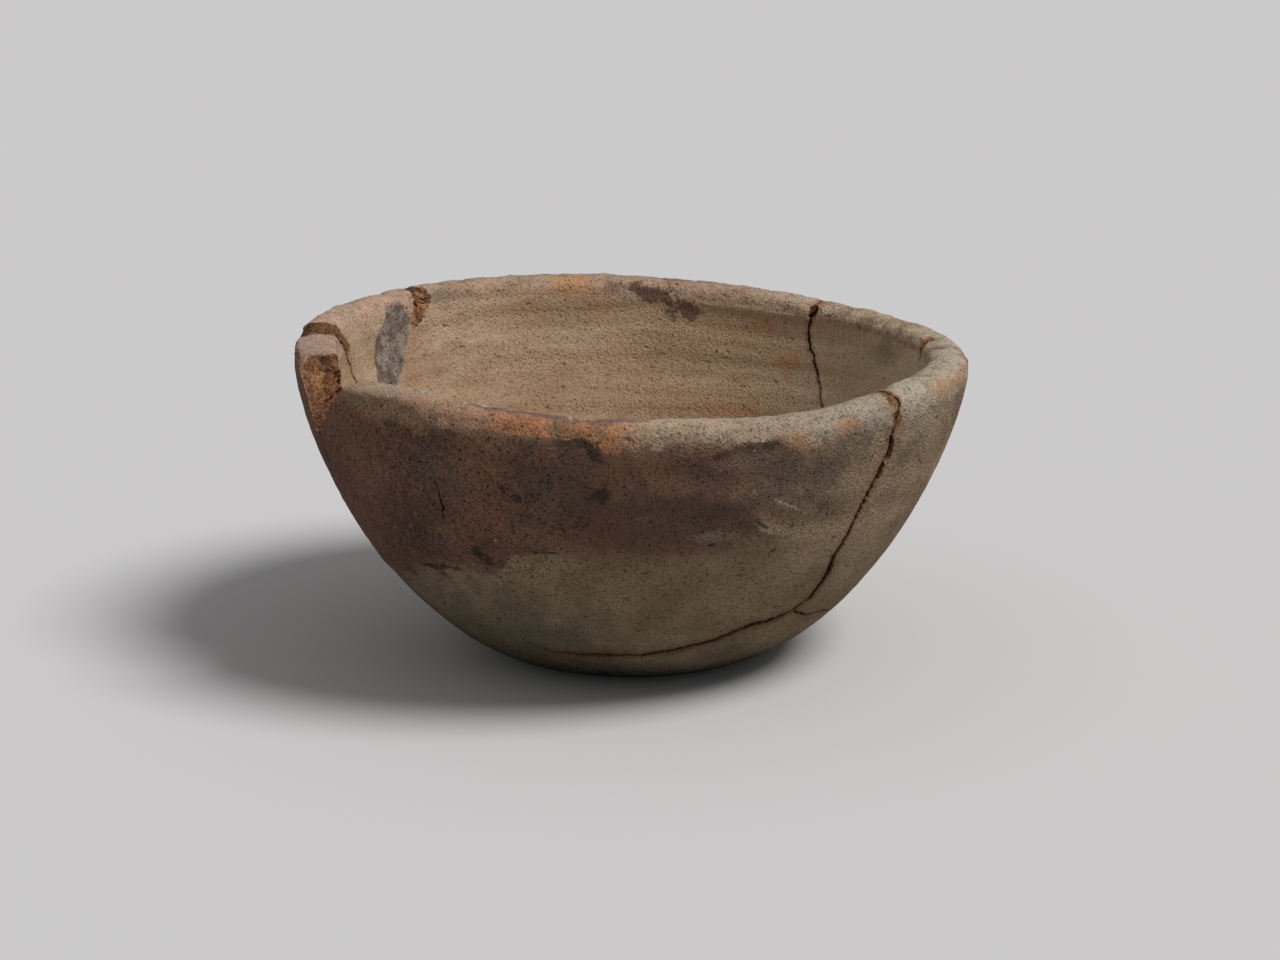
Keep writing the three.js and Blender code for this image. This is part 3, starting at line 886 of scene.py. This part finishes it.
def outside_colour(graph, place, pattern):
    """Buff clay, darkened at the foot by painted contact shade, and mauve-brown above, redder at the left and
    buff at the right.
    """
    height, blotch = place.height / MM, pattern.blotch
    low = graph.blend(graph.rise(blotch, 0.35, 0.65), CLAY["low dark"], CLAY["low light"])
    # Painted contact shade: the clay is painted darker towards the foot
    low = graph.blend(graph.rise(height + (blotch - 0.5) * 8, 12, 1) * 0.95, low, CLAY["foot painted shade"])
    high = graph.blend(graph.rise(blotch, 0.38, 0.64), CLAY["high dark"], CLAY["high light"])
    red = graph.rise(pattern.cloud + pattern.ragged * 0.1, 0.44, 0.62) * place.sector(192, 285, 20)
    high = graph.blend(red * 0.5, high, CLAY["high red"])
    right = graph.blend(graph.rise(blotch, 0.35, 0.62), CLAY["right dark"], CLAY["right light"])
    high = graph.blend(place.sector(300, 400, 16), high, right)
    varied = place.sector(278, 352, 12) * graph.rise(height, 44, 52)
    high = graph.blend(graph.rise(pattern.patchy, 0.54, 0.62) * varied * 0.45, high, CLAY["patch light"])
    high = graph.blend(graph.rise(pattern.patchy, 0.46, 0.38) * varied * 0.5, high, CLAY["patch dark"])
    return graph.blend(place.zone((pattern.mottle - 0.5) * 9 + (blotch - 0.5) * 6), low, high)


def lip_colour(graph, place, pattern):
    """Mottled buff clay of the worn lip, in stretches of other colours, with a paler crown at the front that
    is partly wear and partly painted light on the lip's top.
    """
    colour = graph.blend(graph.rise(pattern.mottle, 0.4, 0.6), CLAY["lip dark"], CLAY["lip light"])
    rubbed = graph.rise(pattern.mottle, 0.34, 0.54)
    for start, end, soft, tint, share in LIP_STRETCHES:
        colour = graph.blend(place.sector(start, end, soft) * rubbed * share, colour, tint)
    # Paler crown on the lip's top: partly wear, partly painted light
    crown = graph.rise(place.run + pattern.ragged * 0.1, 1.35, 1.6) * place.lip * place.sector(200, 300, 10)
    return graph.blend(crown * 0.36, colour, CLAY["lip crown worn and lit"])


def skin_colour(graph, place, pattern):
    """The outside, the worn lip and the inside, each with a ragged edge to the next."""
    worn = place.run + pattern.torn * 0.045
    for start, end, soft, reach in KEPT_SKIN:
        worn = worn - place.sector(start, end, soft) * reach
    outside, lip = outside_colour(graph, place, pattern), lip_colour(graph, place, pattern)
    colour = graph.blend(graph.rise(worn, 0.964, 0.98), outside, lip)
    over_lip = graph.rise(place.run + pattern.ragged * 0.04, 1.94, 2.04)
    return graph.blend(over_lip, colour, inside_colour(graph, place, pattern))


def with_marks(graph, place, pattern, colour):
    """The colour with its stains, its pale scrape and painted highlights, its dark marks and the line along
    the lip, which is pale in places as a painted highlight.
    """
    for kind, stain in STAINS.items():
        away = graph.add("ShaderNodeAttribute", {"attribute_name": "stain_" + kind}, {}, "Fac") + pattern.torn
        half = stain["soft"] / 2
        colour = graph.blend(graph.rise(away, 1 + half, 1 - half) * stain["share"], colour, stain["colour"])
    outer, inner = 1 - place.inside, 1 - place.outside
    # Pale marks outside: a scrape, then a painted highlight on a lit ridge and a painted glint
    for marks, side, tint in ((SCRAPES_AND_HIGHLIGHTS, outer, CLAY["scrape and highlight"]), (OUTER_MARKS, outer, CLAY["mark"]),
                              (INNER_MARKS, inner, CLAY["mark"])):
        for angle, height, half_width, half_height, slant in marks:
            mark = place.patch(angle, height, half_width, half_height, pattern.torn, slant)
            colour = graph.blend(mark * side * MARK_STRENGTH, colour, tint)
    off_line = graph.math("ABSOLUTE", place.run - LIP_LINE["run"] + (pattern.blotch - 0.5) * 0.5)
    line = graph.rise(off_line + (pattern.sand - 0.5) * 0.2, 0.1, 0.05)
    line = line * place.sector(LIP_LINE["start"], LIP_LINE["end"], 3)
    colour = graph.blend(line * graph.rise(pattern.mottle, 0.35, 0.5) * 0.85, colour, CLAY["lip line dark"])
    # Pale places of the lip line are a painted highlight on the lip's edge
    return graph.blend(line * graph.rise(pattern.mottle, 0.42, 0.34) * 0.9, colour, CLAY["lip line painted highlight"])


def grey_colour(graph, pattern):
    """Grey, holed clay of the band inside where the skin has come away."""
    colour = graph.blend(graph.rise(pattern.mottle, 0.42, 0.56), CLAY["grey dark"], CLAY["grey light"])
    colour = graph.blend(graph.rise(pattern.sand, 0.53, 0.62) * 0.85, colour, CLAY["grey hole"])
    return graph.blend(graph.rise(pattern.grains, 0.36, 0.28), colour, CLAY["grey grain"])


def bare_colour(graph, place, pattern):
    """Orange-brown bare clay of the breaks, holed and grainy, darker below the lip."""
    colour = graph.blend(graph.rise(pattern.mottle, 0.36, 0.62), CLAY["bare dark"], CLAY["bare light"])
    colour = graph.blend(graph.rise(place.height / MM, 60, 54) * 0.55, colour, CLAY["bare low"])
    holes = graph.rise(pattern.sand * 0.6 + pattern.grains * 0.4, 0.5, 0.6)
    colour = graph.blend(holes * 0.9, colour, CLAY["bare hole"])
    return graph.blend(graph.rise(pattern.grains, 0.44, 0.34) * 0.6, colour, CLAY["bare grain"])


def with_breaks(graph, place, pattern, kept, colour):
    """The colour with bare clay where it is broken or crumbled, and dark painted shade in the depth of the
    cracks.
    """
    run, ragged = place.run, pattern.ragged
    beside = graph.math("ABSOLUTE", place.angle - join_angle(graph, run))
    step = graph.rise(beside + ragged * 0.4, 1.0, 0.6) * graph.rise(run, 0.85, 0.95)
    step = step * graph.rise(run, 2.09, 2.05)
    bare = graph.math("MAXIMUM", graph.rise(kept["broken"], 0.12, 0.4), step)
    for angle, height, half_width, half_height, first, last, share in CRUMBLED:
        reach = graph.rise(run + ragged * 0.05, first, first + 0.05) * (run < last) * share
        crumbled = place.patch(angle, height, half_width, half_height, pattern.torn, 0, 0.5)
        bare = graph.math("MAXIMUM", bare, crumbled * reach)
    clay = graph.blend(step * 0.45, bare_colour(graph, place, pattern), CLAY["bare step"])
    colour = graph.blend(bare, colour, clay)
    # Painted shade in the depth of the cracks
    crack_depth_shade = graph.rise(kept["crack"], 3.0, 2.0) * graph.rise(kept["broken"], 0.15, 0.8)
    return graph.blend(crack_depth_shade, colour, CLAY["crack depth painted shade"])


def clay_material():
    """Sandy unglazed clay, stained and pitted, with dirt along its cracks, bare clay in its breaks, and
    painted light and shade in places.
    """
    material, graph = blank_material("clay")
    position = graph.add("ShaderNodeTexCoord", {}, {}, "Object")
    kept = {name: graph.add("ShaderNodeAttribute", {"attribute_name": name}, {}, "Fac")
            for name in ("run", "broken", "crack", "gap", "band")}
    place = Place(graph, position, kept["run"])
    pattern = Patterns(graph, position)
    colour = with_marks(graph, place, pattern, skin_colour(graph, place, pattern))

    pits = graph.rise(pattern.cells, 0.26, 0.1) * graph.rise(pattern.chance, 0.76, 0.88)
    fibrous = place.sector(*FIBROUS_SKIN) * graph.rise(place.height / MM, 24, 32) * place.outside
    pit_share = 0.55 - place.inside * 0.2 - fibrous * 0.36
    colour = graph.blend(pits * pit_share, colour, CLAY["pit"])
    ruddy = graph.rise(pattern.spots, 0.54, 0.64) * fibrous
    colour = graph.blend(ruddy * 0.55, colour, CLAY["ruddy spot"])
    specks = graph.rise(pattern.cells, 0.16, 0.08) * graph.rise(pattern.chance, 0.02, 0.012)
    colour = graph.blend(specks, colour, CLAY["speck"])

    coarse = pattern.grains * 0.6 + pattern.sand * 0.4
    shade = graph.rise(coarse, 0.46, 0.3) * 0.2 - graph.rise(coarse, 0.5, 0.66) * 0.56 + 0.05
    shade = shade * (1 + place.outside * 0.4 + fibrous * 0.5 + place.lip * 0.4)
    shade = 1 + shade + (graph.rise(pattern.grit, 0.62, 0.38) - 0.45) * (0.2 + fibrous * 0.35)
    colour = graph.scaled(colour, shade)

    spalled = graph.rise(kept["band"] + pattern.ragged * 0.5, 0.6, 0.3) * graph.rise(place.run, 1.7, 1.9)
    colour = graph.blend(spalled * 0.92, colour, grey_colour(graph, pattern))
    dirt = graph.rise(kept["crack"] / kept["gap"] + pattern.ragged * 0.8, 1.5, 0.3)
    colour = graph.blend(dirt * 0.6, colour, graph.scaled(CLAY["crack dirt"], shade * 0.75))
    colour = with_breaks(graph, place, pattern, kept, colour)

    height = pattern.mottle * 0.5 + pattern.sand * 0.8 + pattern.grains * 0.8 + pattern.grit * 0.2
    height = height - pits * 0.6 + pattern.streak * place.inside * 0.3
    bump = graph.add("ShaderNodeBump", {}, {"Strength": 0.9, "Distance": 0.6 * MM, "Height": height})
    roughness = 0.88 + (pattern.sand - 0.5) * 0.2
    shader = graph.add("ShaderNodeBsdfPrincipled", {}, {
        "Base Color": colour, "Roughness": roughness, "Specular IOR Level": 0.25, "Normal": bump})
    graph.add("ShaderNodeOutputMaterial", {}, {"Surface": shader})
    return material


def floor_material():
    """Plain matte floor: pale to the camera, mid grey in the light it throws back on the bowl."""
    material, graph = blank_material("floor")
    seen = graph.add("ShaderNodeLightPath", {}, {}, "Is Camera Ray")
    shader = graph.add("ShaderNodeBsdfPrincipled", {}, {
        "Base Color": graph.blend(seen, FLOOR_THROWN, FLOOR_SEEN), "Roughness": 0.95})
    graph.add("ShaderNodeOutputMaterial", {}, {"Surface": shader})
    return material


def make_stage():
    """Pale floor, soft light from the right and a camera at the front, a little above the rim."""
    mesh = bpy.data.meshes.new("floor")
    corners = ((-1, -1), (1, -1), (1, 1), (-1, 1))
    mesh.from_pydata([(x * FLOOR_HALF, y * FLOOR_HALF, 0) for x, y in corners], [], [(0, 1, 2, 3)])
    mesh.materials.append(floor_material())
    floor = new_object("floor", mesh)

    lamp = bpy.data.lights.new("key", "SUN")
    lamp.energy = LAMP["energy"]
    lamp.angle = LAMP["size"]
    new_object("key", lamp).rotation_euler = (0, LAMP["tip"], LAMP["turn"])

    scene = bpy.context.scene
    world = bpy.data.worlds.new("studio")
    world.use_nodes = True
    background = world.node_tree.nodes["Background"]
    background.inputs["Color"].default_value = (1, 1, 1, 1)
    background.inputs["Strength"].default_value = WORLD_STRENGTH
    scene.world = world
    scene.view_settings.view_transform = "Standard"

    camera = new_object("camera", bpy.data.cameras.new("camera"))
    camera.data.sensor_width = CAMERA["sensor"]
    camera.data.lens = CAMERA["lens"]
    tilt, distance = CAMERA["tilt"], CAMERA["distance"]
    across, along, up = CAMERA_AIM
    camera.location = (across, along - distance * math.cos(tilt), up + distance * math.sin(tilt))
    camera.rotation_euler = (math.pi / 2 - tilt, 0, 0)
    scene.camera = camera


make_bowl(clay_material())
make_stage()
